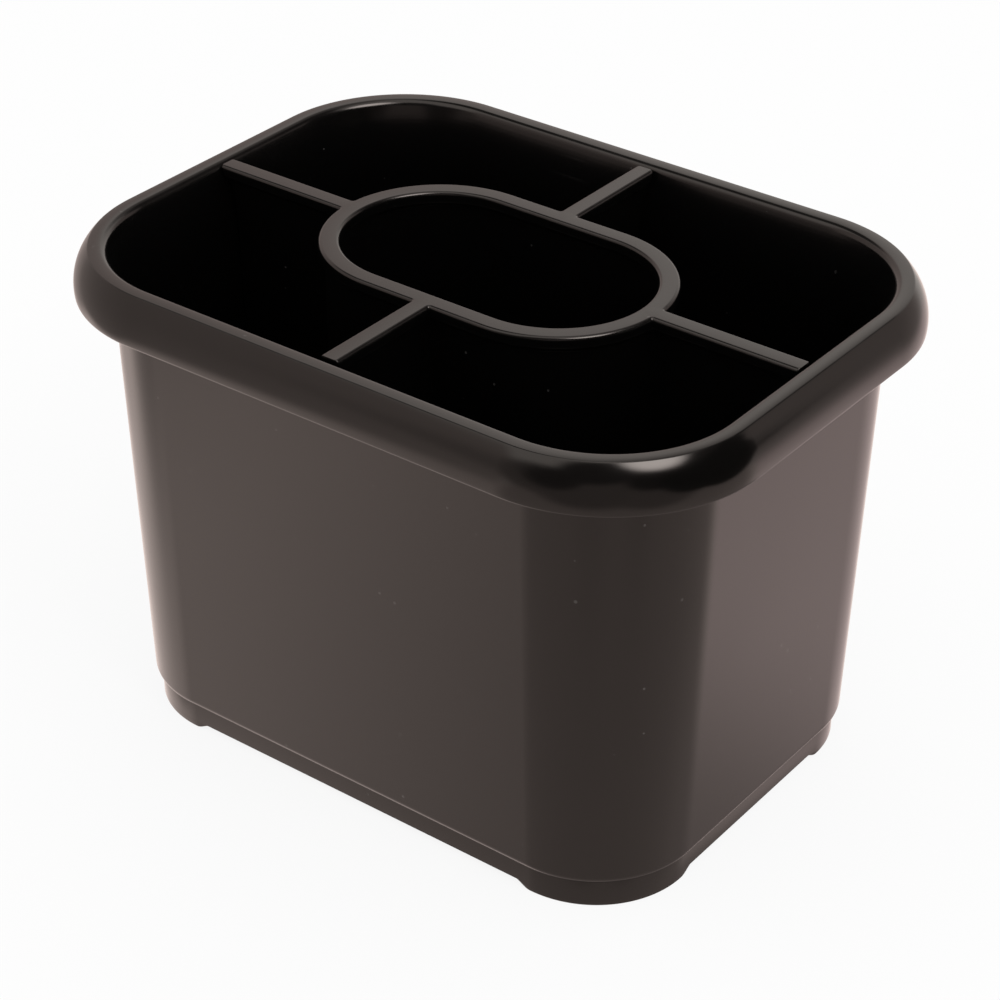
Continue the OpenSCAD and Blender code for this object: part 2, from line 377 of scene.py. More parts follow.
@dataclass(frozen=True)
class TubSizes:
    """Sizes of the tub that its neighbours share, as distances from a corner's centre and heights.

    Args:
        length: Length over the collar.
        width: Width over the collar.
        rim_z: Height of the rim.
        skirt_z: Height of the wall's lower edge.
        floor_z: Height of the perforated floor's top.
        corner: Corner radius of the collar at its widest line.
        wall: Thickness of the wall.
        draft: Lean of the wall, in degrees.
        collar_height: Height of the collar.
        overhang: Reach of the collar beyond the wall.
        reach: Reach of the collar beyond the inner edge of the rim's flat top.
        mouth_rounding: Rounding from the flat top into the tub's mouth.
        crown_rise: Rise of the slight crown of the flat top.
        lean: Lean of the flare's inner face where that rounding runs into it, in degrees.
        back_lean: Lean of the flare's outer face at the hollow's roof, in degrees.
    """

    length: float
    width: float
    rim_z: float
    skirt_z: float
    floor_z: float
    corner: float = 41 * MM
    wall: float = 2 * MM
    draft: float = 1.95
    collar_height: float = 11.9 * MM
    overhang: float = 9.35 * MM
    reach: float = 6.7 * MM
    mouth_rounding: float = 2 * MM
    crown_rise: float = 0.07 * MM
    lean: float = 17.0
    back_lean: float = 22.0

    @classmethod
    def from_frame(cls) -> "TubSizes":
        """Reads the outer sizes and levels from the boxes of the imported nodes.

        Returns:
            The sizes.
        """
        low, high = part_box(Piece.TUB.value)
        floor_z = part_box(Piece.DIVIDER.value)[0].z
        return cls(high.x - low.x, high.y - low.y, high.z, low.z, floor_z)

    @property
    def outline(self) -> Outline:
        """The rounded rectangle of the corner centres."""
        return Outline(self.length / 2 - self.corner, self.width / 2 - self.corner)

    @property
    def top_z(self) -> float:
        """Height of the rim's top before it is crowned."""
        return self.rim_z - self.crown_rise

    @property
    def mouth(self) -> Point:
        """Middle of the rounding between the flat top and the mouth."""
        return self.corner - self.reach, self.top_z - self.mouth_rounding

    def outer(self, z: Values) -> Values:
        """Distance of the wall's outer face at a height: it leans out by the draft as it rises."""
        under = self.rim_z - self.collar_height
        return self.corner - self.overhang + (z - under) * math.tan(math.radians(self.draft))

    def flare(self, lean_degrees: float) -> tuple[float, Point]:
        """Radius and middle of a flare, the arc that joins the wall to the mouth's rounding.

        It touches the rounding where that leans by the flare's lean, so its middle lies on the
        line through there and the rounding's middle, and its radius is the distance from that
        middle to the wall's inner face.

        Args:
            lean_degrees: Lean of the flare where it touches the rounding, in degrees.

        Returns:
            The radius, and the middle as distance and height.
        """
        across, height = self.mouth
        lean, draft = math.radians(lean_degrees), math.radians(self.draft)
        share = math.cos(lean - draft) / math.cos(draft)
        room = across - (self.outer(height) - self.wall)
        radius = (room - self.mouth_rounding * share) / (1 / math.cos(draft) - share)
        past = radius - self.mouth_rounding
        return radius, (across + past * math.cos(lean), height - past * math.sin(lean))

    @property
    def flare_low(self) -> float:
        """Height at which the flare leaves the wall."""
        radius, (_, height) = self.flare(self.lean)
        return height + radius * math.sin(math.radians(self.draft))

    def inner(self, z: Values) -> Array:
        """Distance of the tub's inner face: leaning wall, then flare, then the mouth's rounding.

        On the two arcs it is the distance of the arc's middle less the root of the squared radius
        less the squared rise above that middle.

        Args:
            z: Heights.

        Returns:
            The distance at each height.
        """
        radius, (middle, middle_z) = self.flare(self.lean)
        across, height = self.mouth
        top = height + self.mouth_rounding * math.sin(math.radians(self.lean))
        wall = self.outer(z) - self.wall
        flare = middle - np.sqrt(np.maximum(0.0, radius**2 - (z - middle_z) ** 2))
        edge = across - np.sqrt(np.maximum(0.0, self.mouth_rounding**2 - (z - height) ** 2))
        return np.where(z <= self.flare_low, wall, np.where(z <= top, flare, edge))


class Moulding:
    """A moulded piece that stands for the node of its own name."""

    part: ClassVar[Piece]

    def build(self) -> Object:
        """Makes the piece's mesh."""
        raise NotImplementedError

    def dress(self, piece: Object, finish: "BlackPlastic", effects: "Effects") -> None:
        """Gives a piece its finish and puts it in the place of its node, on its body.

        Args:
            piece: The piece that build made.
            finish: The finish that it takes.
            effects: The node groups that the finishes share.
        """
        piece.data.materials.append(finish.material(effects))
        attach(piece, self.part.value)
        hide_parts(self.part.value)
        log.info("%s stands for %s in %s", piece.name, self.part.value, finish.name)


@dataclass
class Tub(Moulding):
    """The tub: floor with drain holes, leaning wall, flared rim, rolled collar and skirt.

    Args:
        sizes: Sizes that the neighbours share.
        floor: Thickness of the floor.
        floor_rounding: Rounding between floor and wall.
        skirt_rounding: Rounding of the wall's lower edge.
        skirt_turn: Turn of that rounding before the flat face that stands on the tray, in degrees.
        belly: Drop from the rim to the collar's widest line.
        rim_flat: Width of the rim's flat top, before its outer edge is rounded.
        rim_rounding: Rounding from the flat top into the collar.
        edge_rounding: Rounding of the edges that are crisp to the eye.
        skin: Thickness of the collar's skin.
        wear_radius: Radius of rounding at which an edge is fully worn.
        plate_margin: Width of plain floor that is carried with the wall.
        drain: Diameter of a drain hole.
        drain_steps: Number of stretches round a drain hole.
        pitch: Distance between neighbouring drain holes.
        margin: Least width of plain floor between a hole and the wall.
        support: Distance of the points that keep flats flat.
        past_corner: Distances of a side's stations from the corner at either of its ends.
        fade: Power with which the inside fades out over the mouth's rounding.
    """

    part = Piece.TUB
    sizes: TubSizes
    floor: float = 2 * MM
    floor_rounding: float = 3 * MM
    skirt_rounding: float = 2.4 * MM
    skirt_turn: float = 60.0
    belly: float = 9.6 * MM
    rim_flat: float = 2.7 * MM
    rim_rounding: float = 0.6 * MM
    edge_rounding: float = 0.35 * MM
    skin: float = 1.8 * MM
    wear_radius: float = 0.8 * MM
    plate_margin: float = 1.5 * MM
    drain: float = 5 * MM
    drain_steps: int = 32
    pitch: float = 17 * MM
    margin: float = 7 * MM
    support: float = 0.25 * MM
    past_corner: tuple[float, ...] = (0.5 * MM, 2 * MM, 8 * MM, 20 * MM)
    fade: int = 4

    def collar_circle(self) -> tuple[Point, float]:
        """The collar's circle: upright at the belly, and through the flat top's outer edge.

        Returns:
            Its middle and its radius.
        """
        s = self.sizes
        out = s.reach - self.rim_flat
        radius = (out**2 + self.belly**2) / (2 * out)
        return (s.corner - radius, s.top_z - self.belly), radius

    def rim_edge(self) -> Point:
        """The rim's rounding, which touches the flat top and lies inside the collar.

        Returns:
            Its middle.
        """
        (across, height), radius = self.collar_circle()
        edge_z = self.sizes.top_z - self.rim_rounding
        return across + math.sqrt((radius - self.rim_rounding) ** 2 - (edge_z - height) ** 2), edge_z

    def crown(self) -> tuple[Point, float, float, float]:
        """The circle of the crowned top, which touches both edge roundings and rises between them.

        Returns:
            Its middle, its radius and the angles at which it meets the mouth's and the rim's rounding.
        """
        s = self.sizes
        rise, inner = s.crown_rise, s.mouth[0]
        spread = (self.rim_edge()[0] - inner) / math.sqrt(2 * rise)
        past_inner = ((spread - (s.mouth_rounding - self.rim_rounding) / spread) / 2) ** 2
        radius = past_inner + s.mouth_rounding
        past_outer = radius - self.rim_rounding
        middle = (inner + math.sqrt(2 * rise * past_inner), s.rim_z - radius)
        leans = [math.asin(math.sqrt(2 * rise / past)) for past in (past_inner, past_outer)]
        return middle, radius, 90 + math.degrees(leans[0]), 90 - math.degrees(leans[1])

    def collar(self) -> list[Array]:
        """Outer part of the section, from the flat top's outer edge to the wall's back.

        It is the edge's rounding, the collar, the lip, which is a half circle as thick as the
        skin, the collar's inner face and the back of the flare.

        Returns:
            Runs of points (distance, height), in order.
        """
        s = self.sizes
        middle, radius = self.collar_circle()
        edge = self.rim_edge()
        start = math.degrees(math.atan2(edge[1] - middle[1], edge[0] - middle[0]))
        lip = self.skin / 2
        lip_angle = -math.degrees(math.asin((s.collar_height - self.belly - lip) / (radius - lip)))
        lip_middle = arc(middle, radius - lip, lip_angle, lip_angle, steps=0)[0]
        roof = math.degrees(math.asin((self.belly - self.skin) / (radius - self.skin)))
        flare_radius, flare_middle = s.flare(s.back_lean)
        return [
            arc(edge, self.rim_rounding, self.crown()[3], start, steps=10)[1:],
            arc(middle, radius, start, lip_angle, steps=28)[1:],
            arc(tuple(lip_middle), lip, lip_angle, lip_angle - 180, steps=14)[1:],
            arc(middle, radius - self.skin, lip_angle, roof, steps=14)[1:],
            arc(flare_middle, flare_radius - s.wall, 180 - s.back_lean, 180 - s.draft, steps=12),
        ]

    def section(self) -> Array:
        """Section of the tub: from the floor up the inside, over the rim and down the outside.

        Returns:
            Points (distance, height), which end below the floor.
        """
        s = self.sizes
        rounding_z = s.floor_z + self.floor_rounding
        rounding = float(s.inner(rounding_z)) - self.floor_rounding
        flare_radius, flare_middle = s.flare(s.lean)
        crown_middle, crown_radius, crown_start, crown_end = self.crown()
        under_z = s.floor_z - self.floor
        soft = self.skirt_rounding
        skirt_z = s.skirt_z + soft * math.sin(math.radians(self.skirt_turn))
        skirt_middle = (s.outer(skirt_z) - soft / math.cos(math.radians(s.draft)), skirt_z)
        skirt = arc(skirt_middle, soft, -s.draft, -self.skirt_turn, steps=14)
        skirt_corner = np.array([s.outer(s.skirt_z) - s.wall, s.skirt_z])
        under = np.array([s.outer(under_z) - s.wall, under_z])
        edge = rounding - self.plate_margin
        return supported(np.concatenate([
            [[edge, s.floor_z]],
            arc((rounding, rounding_z), self.floor_rounding, -90, 0, steps=10),
            arc(flare_middle, flare_radius, 180 - s.draft, 180 - s.lean, steps=16),
            arc(s.mouth, s.mouth_rounding, 180 - s.lean, crown_start, steps=14)[1:],
            arc(crown_middle, crown_radius, crown_start, crown_end, steps=8)[1:],
            *self.collar(),
            skirt,
            fillet(skirt[-1], skirt_corner, under, self.edge_rounding),
            [under, [edge, under_z]],
        ]), self.support)

    def inside(self, section: Array) -> Array:
        """How far each point lies inside: its depth into the mouth's rounding, raised to the fade.

        Args:
            section: Points of the section.

        Returns:
            1 along the inner face and the floor, falling to 0 over the mouth's rounding.
        """
        s = self.sizes
        across = s.mouth[0]
        is_inner = np.cumsum(section[:, 0] >= across) == 0
        depth = (across - section[:, 0]) / s.mouth_rounding
        return is_inner * np.clip(depth / math.cos(math.radians(s.lean)), 0.0, 1.0) ** self.fade

    def drain_places(self) -> Array:
        """Middles of the drain holes: a square grid, kept where a hole has its margin to the wall.

        Returns:
            Points in plan.
        """
        s = self.sizes
        reach = float(s.inner(s.floor_z)) - self.floor_rounding - self.margin - self.drain / 2
        most = math.ceil(s.length / 2 / self.pitch)
        columns = np.arange(-most, most + 1) * self.pitch
        grid = np.stack(np.meshgrid(columns, columns, indexing="ij"), axis=-1).reshape(-1, 2)
        past = np.maximum(0.0, np.abs(grid) - [s.outline.corner_x, s.outline.corner_y])
        return grid[np.linalg.norm(past, axis=1) <= reach]

    def drain_walls(self) -> Array:
        """Section of a drain hole about its middle, from the floor's top down, with softened edges.

        Returns:
            Points (distance, height).
        """
        across = self.drain / 2 + self.edge_rounding
        high = self.sizes.floor_z - self.edge_rounding
        low = self.sizes.floor_z - self.floor + self.edge_rounding
        return np.concatenate([
            arc((across, high), self.edge_rounding, 90, 180, steps=4),
            arc((across, low), self.edge_rounding, 180, 270, steps=4),
        ])

    def build(self) -> Object:
        """Makes the tub's mesh.

        Returns:
            The tub, welded and closed.
        """
        shell = Shell()
        section = self.section()
        grid = self.sizes.outline.carry(section, np.array(self.past_corner))
        shell.add_grid(grid, edge_wear(section, self.wear_radius), self.inside(section))
        places = self.drain_places()
        walls = self.drain_walls()
        circle = arc((0.0, 0.0), 1.0, 360, 0, self.drain_steps)[:-1]
        mouths = places[:, None, :] + circle[None] * walls[0, 0]
        plan, triangles = triangulate([grid[:, 0, :2], *mouths])
        middles = plan[triangles].mean(axis=1)
        gaps = np.linalg.norm(middles[:, None, :] - places[None], axis=2)
        solid = triangles[gaps.min(axis=1) > walls[0, 0] * math.cos(math.pi / self.drain_steps)]
        shell.add_plate(plan, solid, self.sizes.floor_z, faces_up=True, inside=1.0)
        shell.add_plate(plan, solid, self.sizes.floor_z - self.floor, faces_up=False)
        for place in places:
            shell.add_grid(raised(place + circle[:, None, :] * walls[:, :1], walls[:, 1]))
        return shell.to_object("tub_moulding")


def bow(x: Values, y: Values, radius: Array, first: Values, last: Values, steps: int) -> Array:
    """Arcs in plan at every level at once: (x, y) + radius * (cos a, sin a), a from first to last.

    Args:
        x: Middle of each level's arc along X.
        y: Middle of each level's arc along Y.
        radius: Radius of each level's arc.
        first: First angle, in radians.
        last: Last angle, in radians.
        steps: Number of stretches between the points.

    Returns:
        Points by place, then by level.
    """
    share = np.linspace(0.0, 1.0, steps + 1)[:, None]
    angle = first + (last - first) * share
    return np.stack([x + radius * np.cos(angle), y + radius * np.sin(angle)], axis=2)


def stretch(x0: Array, y0: Array, x1: Array, y1: Array, shares: tuple[float, ...]) -> Array:
    """Points of a straight stretch in plan at every level at once: start + (end - start) * share.

    Args:
        x0: Start of each level's stretch along X.
        y0: Start of each level's stretch along Y.
        x1: End of each level's stretch along X.
        y1: End of each level's stretch along Y.
        shares: Shares of the stretch, from 0 to 1.

    Returns:
        Points by place, then by level.
    """
    share = np.asarray(shares)[:, None]
    return np.stack([x0 + (x1 - x0) * share, y0 + (y1 - y0) * share], axis=2)


@dataclass
class Divider(Moulding):
    """The lift-out divider: an oval centre cell and four arms, all with a rounded bead on a thin web.

    Args:
        sizes: Sizes of the tub that the arms reach to.
        top_z: Height of the divider's top.
        cell_length: Length of the centre cell over its bead.
        cell_width: Width of the centre cell over its bead.
        bead: Width of the bead.
        bead_height: Height of the bead.
        bead_rounding: Rounding of the bead's top edges.
        web: Thickness of the walls below the bead.
        end_gap: Gap to the tub at the arms on the long axis.
        side_gap: Gap to the tub at the arms on the short axis.
        tip_bevel: Bevel across the top of each arm's tip.
        floor_cut: Bevel at the foot of each arm's tip, which clears the floor's rounding.
        corner_fillet: Rounding where an arm meets the cell.
        tip_rounding: Rounding of a tip's upright edges.
        support: Distance of the points that keep flats flat.
        flare_levels: Number of levels at which the tips follow the tub's flare.
        turn_steps: Number of stretches in a quarter of the cell's turn.
        side_shares: Shares of the cell's half straight side at which its inside has points.
        clear: Share of the cell's inner radius past which a triangle's middle is in the wall.
    """

    part = Piece.DIVIDER
    sizes: TubSizes
    top_z: float
    cell_length: float = 94 * MM
    cell_width: float = 59 * MM
    bead: float = 5.2 * MM
    bead_height: float = 4.5 * MM
    bead_rounding: float = 0.9 * MM
    web: float = 1.8 * MM
    end_gap: float = 0.5 * MM
    side_gap: float = 1.4 * MM
    tip_bevel: float = 0.6 * MM
    floor_cut: float = 3.5 * MM
    corner_fillet: float = 0.4 * MM
    tip_rounding: float = 0.35 * MM
    support: float = 0.2 * MM
    flare_levels: int = 5
    turn_steps: int = 36
    side_shares: tuple[float, ...] = (0.97, 0.5, 0.0, -0.5, -0.97)
    clear: float = 0.9995

    @property
    def turn(self) -> float:
        """Radius of the cell's two ends, to the middle of the wall."""
        return (self.cell_width - self.bead) / 2

    @property
    def straight(self) -> float:
        """Distance of the centres of the cell's two ends from its middle."""
        return (self.cell_length - self.bead) / 2 - self.turn

    def levels(self) -> Array:
        """Section of one side, from the bead's top to the floor.

        Returns:
            Points (distance from the wall's middle, height), from the highest down.
        """
        half, web, soft = self.bead / 2, self.web / 2, self.bead_rounding
        low = self.top_z - self.bead_height
        floor_z = self.sizes.floor_z
        neck = np.array([half, low + half - web])
        root = np.array([web, low])
        face = arc((half - soft, self.top_z - soft), soft, 90, 0, steps=12)
        points = supported(np.concatenate([
            face,
            fillet(face[-1], neck, root, self.corner_fillet),
            fillet(neck, root, np.array([web, floor_z]), self.corner_fillet),
            [[web, floor_z]],
        ]), self.support)
        flare = np.linspace(
            self.sizes.flare_low, low - self.corner_fillet, self.flare_levels, endpoint=False
        )
        stops = np.append(flare, floor_z + self.floor_cut)
        points = np.concatenate([points, np.stack([np.full(len(stops), web), stops], axis=1)])
        return points[np.argsort(-points[:, 1], kind="stable")]

    def tip(self, corner: float, gap: float, z: Array) -> Array:
        """Reach of an arm: the tub's inner face less the gap, with a bevel at the top and the foot.

        Args:
            corner: Distance of the tub's corner centres from the middle, along the arm.
            gap: Gap to the tub.
            z: Height of each level.

        Returns:
            The reach at each level.
        """
        reach = corner + self.sizes.inner(z) - gap
        top = np.clip(z - (self.top_z - self.tip_bevel), 0.0, None)
        foot = np.clip(self.sizes.floor_z + self.floor_cut - z, 0.0, None)
        return reach - top - foot

    def quadrant(self, half: Array, z: Array) -> Array:
        """Outer edge in the +X +Y quadrant at every level, from the middle of one tip to the other.

        Each level is the outline of arms and cell at its own half width: along the tip, round
        its edge, down the arm, round the fillet that touches arm and cell, along the cell's
        turn and straight side, round the second fillet and up the other arm.

        Args:
            half: Half width of the walls at each level.
            z: Height of each level.

        Returns:
            Points in plan by place, then by level.
        """
        straight = self.straight
        outer = self.turn + half
        outline = self.sizes.outline
        end = self.tip(outline.corner_x, self.end_gap, z)
        side = self.tip(outline.corner_y, self.side_gap, z)
        soft = np.minimum(self.tip_rounding, half / 2)
        curve = self.corner_fillet + self.bead / 2 - half
        ahead = straight + np.sqrt((outer + curve) ** 2 - (half + curve) ** 2)
        lean = np.arcsin((half + curve) / (outer + curve))
        quarter = math.pi / 2
        return np.concatenate([
            stretch(end, 0 * half, end, half - soft, shares=(0.0, 0.5)),
            bow(end - soft, half - soft, soft, 0.0, quarter, steps=4),
            stretch(end - soft, half, ahead, half, NEAR_ENDS),
            bow(ahead, half + curve, curve, -quarter, lean - math.pi, steps=6),
            bow(straight, 0 * half, outer, lean, quarter, self.turn_steps)[1:],
            stretch(straight + 0 * half, outer, half + curve, outer, NEAR_ENDS),
            bow(half + curve, outer + curve, curve, -quarter, -math.pi, steps=6),
            stretch(half, outer + curve, half, side - soft, NEAR_ENDS),
            bow(half - soft, side - soft, soft, 0.0, quarter, steps=4),
            stretch(half - soft, side, 0 * half, side, shares=(0.5, 1.0)),
        ])

    def cell_inside(self, radius: Array) -> Array:
        """Inner edge of the centre cell at every level, clockwise: two half turns and two sides.

        Args:
            radius: Radius of the half turns at each level.

        Returns:
            Points in plan by place, then by level.
        """
        half_turn = np.radians(np.linspace(90, -90, 2 * self.turn_steps + 1))[:, None]
        across = self.straight + radius * np.cos(half_turn)
        right = np.stack([across, radius * np.sin(half_turn)], axis=2)
        share = np.array(self.side_shares)[:, None]
        bottom = np.stack([self.straight * share + 0 * radius, 0 * share - radius], axis=2)
        return np.concatenate([right, bottom, -right, -bottom])

    def build(self) -> Object:
        """Makes the divider's mesh.

        Returns:
            The divider, welded and closed.
        """
        section = self.levels()
        half, z = section.T
        quadrant = self.quadrant(half, z)
        upper = np.concatenate([quadrant, quadrant[-2:0:-1] * [-1, 1]])
        outer = np.concatenate([upper, -upper])
        inner = self.cell_inside(self.turn - half)
        wear = edge_wear(section, self.bead_rounding)
        inside = np.clip((self.top_z - z) / self.bead_height, 0.0, 1.0)
        shell = Shell()
        for loop in (outer, inner):
            shell.add_grid(raised(loop, z), wear, inside)
        for level, faces_up in ((0, True), (-1, False)):
            plan, triangles = triangulate([outer[:, level], inner[:, level]])
            middles = plan[triangles].mean(axis=1)
            past = np.maximum(0.0, np.abs(middles[:, 0]) - self.straight)
            solid = triangles[np.hypot(past, middles[:, 1]) > (self.turn - half[level]) * self.clear]
            shell.add_plate(plan, solid, z[level], faces_up)
        return shell.to_object("divider_moulding")


@dataclass
class Tray(Moulding):
    """The drip tray: band, shoulder under the skirt, upstand, bottom and feet round the corners.

    Args:
        sizes: Sizes of the tub that stands on the tray.
        top_z: Height of the upstand.
        band_top: Distance of the band's upper edge.
        band_height: Height of the band.
        band_draft: Lean of the band's face, in degrees.
        bottom: Thickness of the bottom.
        upstand_wall: Thickness of the upstand.
        upstand_gap: Gap between upstand and skirt.
        upstand_bevel: Bevel that leads the upstand into the skirt.
        foot_width: Width of a foot.
        foot_slope: Length of the slope where a foot runs out along a side.
        slope_steps: Number of stretches along that slope.
        run_out: Share of the feet's height at which a foot has run out.
        edge_rounding: Rounding of the edges that are crisp to the eye.
        bevel_share: Share of that rounding at the upstand's bevel.
        tight_share: Share of that rounding where there is little room for it.
        wear_radius: Radius of rounding at which an edge is fully worn.
        plate_margin: Width of plain bottom that is carried with the upstand.
    """

    part = Piece.TRAY
    sizes: TubSizes
    top_z: float
    band_top: float
    band_height: float = 5.8 * MM
    band_draft: float = 2.0
    bottom: float = 2 * MM
    upstand_wall: float = 1.6 * MM
    upstand_gap: float = 0.3 * MM
    upstand_bevel: float = 0.6 * MM
    foot_width: float = 5 * MM
    foot_slope: float = 5 * MM
    slope_steps: int = 12
    run_out: float = 0.97
    edge_rounding: float = 0.35 * MM
    bevel_share: float = 0.4
    tight_share: float = 0.5
    wear_radius: float = 0.7 * MM
    plate_margin: float = 1.4 * MM

    @property
    def under_z(self) -> float:
        """Height of the underside between the feet."""
        return self.sizes.skirt_z - self.band_height

    def section(self, ground: float) -> Array:
        """Section of the tray: from the bottom up the inside, over the upstand and down the outside.

        Args:
            ground: Height of the band's lower edge or of the foot below it.

        Returns:
            Points (distance, height), as many for every ground.
        """
        s = self.sizes
        under_z = self.under_z
        low = self.band_top - self.band_height * math.tan(math.radians(self.band_draft))
        upstand = s.outer(s.skirt_z) - s.wall - self.upstand_gap
        inside = upstand - self.upstand_wall
        edge = inside - self.plate_margin
        foot = low - self.foot_width
        floor_z = under_z + self.bottom
        corners = np.array([
            [edge, floor_z],
            [inside, floor_z],
            [inside, self.top_z],
            [upstand - self.upstand_bevel, self.top_z],
            [upstand, self.top_z - self.upstand_bevel],
            [upstand, s.skirt_z],
            [self.band_top, s.skirt_z],
            [low, under_z],
            [low, ground],
            [foot, ground],
        ])
        bevel, tight = self.bevel_share, self.tight_share
        radii = self.edge_rounding * np.array([1.0, 1.0, bevel, bevel, tight, 1.0, tight, 1.0])
        softened = [fillet(*corners[i - 1:i + 2], radius) for i, radius in enumerate(radii, start=1)]
        underside = [[foot, ground], [foot, under_z], [edge - self.foot_width, under_z]]
        return np.concatenate([corners[:1], *softened, underside])

    def build(self) -> Object:
        """Makes the tray's mesh: along a foot's slope the ground height follows half a cosine wave.

        Returns:
            The tray, welded and closed.
        """
        outline = self.sizes.outline
        slope = np.linspace(0.0, self.foot_slope, self.slope_steps + 1)[1:]
        past = np.append(slope, 2 * self.foot_slope)
        rise = np.clip(outline.stations(past)[2] / self.foot_slope, 0.0, 1.0)
        ground = self.under_z * (1 - np.cos(math.pi * rise)) / 2
        sections = [self.section(height) for height in np.minimum(ground, self.under_z * self.run_out)]
        grid = outline.carry(np.stack(sections), past)
        shell = Shell()
        shell.add_grid(grid, edge_wear(sections[0], self.wear_radius))
        for place, faces_up in ((0, True), (-1, False)):
            plan, triangles = triangulate([grid[:, place, :2]])
            shell.add_plate(plan, triangles, float(sections[0][place, 1]), faces_up)
        return shell.to_object("drip_tray_moulding")


@dataclass(frozen=True)
class Nodes:
    """A node tree, with the kinds of node that the finishes and the studio use.

    Args:
        tree: The tree that takes the nodes.
    """

    tree: Tree

    def fill(self, target: Socket, value: Input) -> None:
        """Links a socket to a target, or sets a number or a colour on it.

        Args:
            target: The socket that takes the value.
            value: A socket, a number, a direction or a colour.
        """
        if isinstance(value, Socket):
            self.tree.links.new(value, target)
        else:
            target.default_value = (*value, 1.0) if target.type == "RGBA" else value

    def add(
        self, kind: str, inputs: dict[str | int, Input] | None = None, **settings: str | Tree
    ) -> bpy.types.Node:
        """Adds a node, sets its properties and then fills its inputs.

        Args:
            kind: Type of the node, after the words that every shader node's type starts with.
            inputs: What each input takes, by the input's name or number.
            settings: The node's properties.

        Returns:
            The node.
        """
        node = self.tree.nodes.new(f"ShaderNode{kind}")
        for name, setting in settings.items():
            setattr(node, name, setting)
        for name, value in (inputs or {}).items():
            self.fill(node.inputs[name], value)
        return node

    def calc(self, operation: str, *values: Socket | float) -> Socket:
        """Result of a Math node on sockets or numbers."""
        return self.add("Math", dict(enumerate(values)), operation=operation).outputs[0]

    def ramp(
        self, value: Socket, low: float, high: float, to_low: float = 0.0, to_high: float = 1.0
    ) -> Socket:
        """Value that eases smoothly from to_low at low to to_high at high."""
        inputs = {"Value": value, "From Min": low, "From Max": high, "To Min": to_low, "To Max": to_high}
        return self.add("MapRange", inputs, interpolation_type="SMOOTHSTEP").outputs["Result"]

    def noise(self, vector: Socket, scale: float, detail: float) -> Socket:
        """Value of a noise pattern."""
        return self.add("TexNoise", {"Vector": vector, "Scale": scale, "Detail": detail}).outputs["Fac"]

    def choose(self, factor: Socket, low: Socket | Colour, high: Socket | Colour) -> Socket:
        """Colour that is low where the factor is 0 and high where it is 1."""
        inputs = {"Factor": factor, MIX_A: low, MIX_B: high}
        return self.add("Mix", inputs, data_type="RGBA").outputs[MIX_RESULT]

    def limited(self, operation: str, one: Socket, other: Colour) -> Socket:
        """The darker (MINIMUM) or the lighter (MAXIMUM) of two colours, channel by channel."""
        return self.add("VectorMath", {0: one, 1: other}, operation=operation).outputs["Vector"]

    def rays(self, *names: str) -> Socket:
        """Value that is 1 on the named kinds of ray, as the greatest of their outputs.

        Args:
            names: Names of the outputs, one for each kind.

        Returns:
            The value.
        """
        path = self.add("LightPath")
        value = path.outputs[names[0]]
        for name in names[1:]:
            value = self.calc("MAXIMUM", value, path.outputs[name])
        return value


def new_group(
    name: str, inputs: dict[str, float | None], outputs: tuple[str, ...]
) -> tuple[Nodes, bpy.types.NodeOutputs, bpy.types.NodeInputs]:
    """Starts a shader node group that puts out values.

    Args:
        name: Name of the group.
        inputs: Default of each input: a number for a value, None for a vector.
        outputs: Names of the outputs.

    Returns:
        The group's nodes, the sockets that bring its inputs and the sockets that take its outputs.
    """
    tree = bpy.data.node_groups.new(name, "ShaderNodeTree")
    for socket, default in inputs.items():
        kind = "NodeSocketVector" if default is None else "NodeSocketFloat"
        made = tree.interface.new_socket(socket, in_out="INPUT", socket_type=kind)
        if default is not None:
            made.default_value = default
    for socket in outputs:
        tree.interface.new_socket(socket, in_out="OUTPUT", socket_type="NodeSocketFloat")
    entry, leave = (tree.nodes.new(f"NodeGroup{side}") for side in ("Input", "Output"))
    return Nodes(tree), entry.outputs, leave.inputs


def moulded_skin() -> Tree:
    """Node group of a polished mould's skin.

    A fine noise is the orange peel that the steel leaves, and the height. A broad one is the
    slow change of gloss along the flow of the melt: centred on 0 and times the spread, it is
    added to the roughness.

    Returns:
        The group.
    """
    nodes, entry, leave = new_group(
        "moulded_skin", {"Vector": None, "Roughness": 0.2, "Spread": 0.05}, ("Roughness", "Height")
    )
    swing = nodes.calc("SUBTRACT", nodes.noise(entry["Vector"], scale=26.0, detail=3.0), 0.5)
    change = nodes.calc("MULTIPLY", swing, entry["Spread"])
    nodes.fill(leave["Roughness"], nodes.calc("ADD", entry["Roughness"], change))
    nodes.fill(leave["Height"], nodes.noise(entry["Vector"], scale=420.0, detail=2.0))
    return nodes.tree


